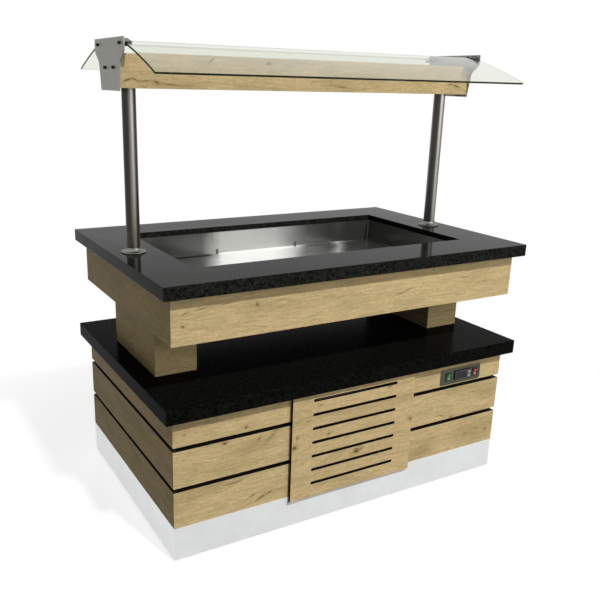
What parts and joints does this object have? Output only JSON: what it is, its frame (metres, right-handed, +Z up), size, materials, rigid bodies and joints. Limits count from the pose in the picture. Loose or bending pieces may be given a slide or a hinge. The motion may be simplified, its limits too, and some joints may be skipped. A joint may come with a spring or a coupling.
{
  "type": "mobile salad bar",
  "caption": "Refrigerated self-service salad bar: stone counter with a cooled well, curved sneeze-guard canopy on steel posts, slatted wood cabinet with a vented service door, on casters.",
  "frame": {"origin": "floor level under the middle of the counter", "axes": "+Z up, +X to the right seen from the control side, +Y from the control side to the rear"},
  "size_m": [1.34, 0.86, 1.494],
  "materials": {
    "oak_laminate": "satin oak-pattern laminate",
    "black_stone": "polished black granite",
    "brushed_stainless": "lengthwise brushed",
    "stainless_sheet": "fine satin",
    "black_board": "matt black",
    "grey_board": "matt grey",
    "skirt_laminate": "satin light grey laminate",
    "painted_frame": "grey powder coat",
    "bracket_paint": "satin grey powder coat",
    "black_plastic": "satin black",
    "black_screw": "black oxide",
    "black_enamel": "gloss black enamel",
    "aluminium_fins": "mill finish",
    "foam": "rigid foam",
    "copper": "bright copper tube",
    "brass": "cast and turned",
    "valve_handle": "gloss red",
    "lamp_diffuser": "opal",
    "clear_glass": "polished, slightly green at the edge",
    "zinc_steel": "zinc plated",
    "green_rocker": "translucent green",
    "red_rocker": "translucent red",
    "grey_button": "satin",
    "wheel_rubber": "black rubber tread"
  },
  "bodies": {
    "cabinet": {"base_frame": "painted_frame", "base_deck": "grey_board", "skirt_boards": "skirt_laminate", "carcass_front": "black_board", "carcass_rear": "black_board", "carcass_ends": "black_board", "slats_front": "oak_laminate", "slats_ends": "oak_laminate", "slats_rear": "oak_laminate", "door_pivots": "brushed_stainless", "door_catch": "black_plastic", "control_plate": "brushed_stainless", "switch_frames": "black_plastic", "thermostat": "black_plastic", "lower_shelf": "black_stone", "pedestals": "oak_laminate", "support_columns": "painted_frame", "underside_panel": "black_board", "top_frame": "painted_frame", "fascia_front": "oak_laminate", "fascia_rear": "oak_laminate", "fascia_ends": "oak_laminate", "counter_slab": "black_stone", "counter_edges": "black_stone", "well_pan": "stainless_sheet", "well_insulation": "foam", "evaporator_coil": "copper", "refrigerant_lines": "copper", "drain_pipe": "stainless_sheet", "drain_valve": "brass", "unit_tray": "painted_frame", "compressor": "black_enamel", "condenser": "aluminium_fins", "fan_shroud": "black_plastic", "power_inlet": "black_plastic", "posts": "brushed_stainless", "post_flanges": "brushed_stainless", "beam_casing": "oak_laminate", "lamp": "lamp_diffuser", "end_brackets": "bracket_paint", "glass_front": "clear_glass", "glass_rear": "clear_glass", "glass_clips": "black_plastic", "bracket_screws": "black_screw", "caster_plates": "zinc_steel"},
    "door": {"vent_door": "oak_laminate"},
    "green_switch": {"rocker_green": "green_rocker"},
    "red_switch": {"rocker_red": "red_rocker"},
    "up_button": {"button_up": "grey_button"},
    "down_button": {"button_down": "grey_button"},
    "fan": {"fan_blade": "aluminium_fins"},
    "drain_handle": {"valve_handle": "valve_handle"},
    "swivel_fl": {"caster_fork_fl": "zinc_steel"},
    "roller_fl": {"caster_wheel_fl": "wheel_rubber"},
    "swivel_fr": {"caster_fork_fr": "zinc_steel"},
    "roller_fr": {"caster_wheel_fr": "wheel_rubber"},
    "swivel_rl": {"caster_fork_rl": "zinc_steel"},
    "roller_rl": {"caster_wheel_rl": "wheel_rubber"},
    "swivel_rr": {"caster_fork_rr": "zinc_steel"},
    "roller_rr": {"caster_wheel_rr": "wheel_rubber"}
  },
  "joints": [
    {"name": "door_swing", "type": "hinge", "parent": "cabinet", "child": "door", "pos_m": [-0.244, -0.408, 0.28], "axis": [0, 0, -1], "range_deg": [0, 105]},
    {"name": "green_tilt", "type": "hinge", "parent": "cabinet", "child": "green_switch", "pos_m": [0.394, -0.3995, 0.411], "axis": [-1, 0, 0], "range_deg": [0, 16]},
    {"name": "red_tilt", "type": "hinge", "parent": "cabinet", "child": "red_switch", "pos_m": [0.518, -0.3995, 0.411], "axis": [-1, 0, 0], "range_deg": [0, 16]},
    {"name": "up_press", "type": "slide", "parent": "cabinet", "child": "up_button", "axis": [0, 1, 0], "range_m": [0, 0.0008], "stiffness_N_per_m": 400},
    {"name": "down_press", "type": "slide", "parent": "cabinet", "child": "down_button", "axis": [0, 1, 0], "range_m": [0, 0.0008], "stiffness_N_per_m": 400},
    {"name": "fan_spin", "type": "hinge", "parent": "cabinet", "child": "fan", "pos_m": [-0.009, -0.27, 0.28], "axis": [0, 1, 0], "continuous": true},
    {"name": "drain_turn", "type": "hinge", "parent": "cabinet", "child": "drain_handle", "pos_m": [-0.513, 0.39, 0.199], "axis": [0, 0, 1], "range_deg": [0, 90]},
    {"name": "swivel_fl_turn", "type": "hinge", "parent": "cabinet", "child": "swivel_fl", "pos_m": [-0.53, -0.29, 0.09], "axis": [0, 0, 1], "continuous": true},
    {"name": "wheel_fl_roll", "type": "hinge", "parent": "swivel_fl", "child": "roller_fl", "pos_m": [-0.53, -0.262, 0.0375], "axis": [1, 0, 0], "continuous": true},
    {"name": "swivel_fr_turn", "type": "hinge", "parent": "cabinet", "child": "swivel_fr", "pos_m": [0.53, -0.29, 0.09], "axis": [0, 0, 1], "continuous": true},
    {"name": "wheel_fr_roll", "type": "hinge", "parent": "swivel_fr", "child": "roller_fr", "pos_m": [0.53, -0.262, 0.0375], "axis": [1, 0, 0], "continuous": true},
    {"name": "swivel_rl_turn", "type": "hinge", "parent": "cabinet", "child": "swivel_rl", "pos_m": [-0.53, 0.29, 0.09], "axis": [0, 0, 1], "continuous": true},
    {"name": "wheel_rl_roll", "type": "hinge", "parent": "swivel_rl", "child": "roller_rl", "pos_m": [-0.53, 0.318, 0.0375], "axis": [1, 0, 0], "continuous": true},
    {"name": "swivel_rr_turn", "type": "hinge", "parent": "cabinet", "child": "swivel_rr", "pos_m": [0.53, 0.29, 0.09], "axis": [0, 0, 1], "continuous": true},
    {"name": "wheel_rr_roll", "type": "hinge", "parent": "swivel_rr", "child": "roller_rr", "pos_m": [0.53, 0.318, 0.0375], "axis": [1, 0, 0], "continuous": true}
  ]
}
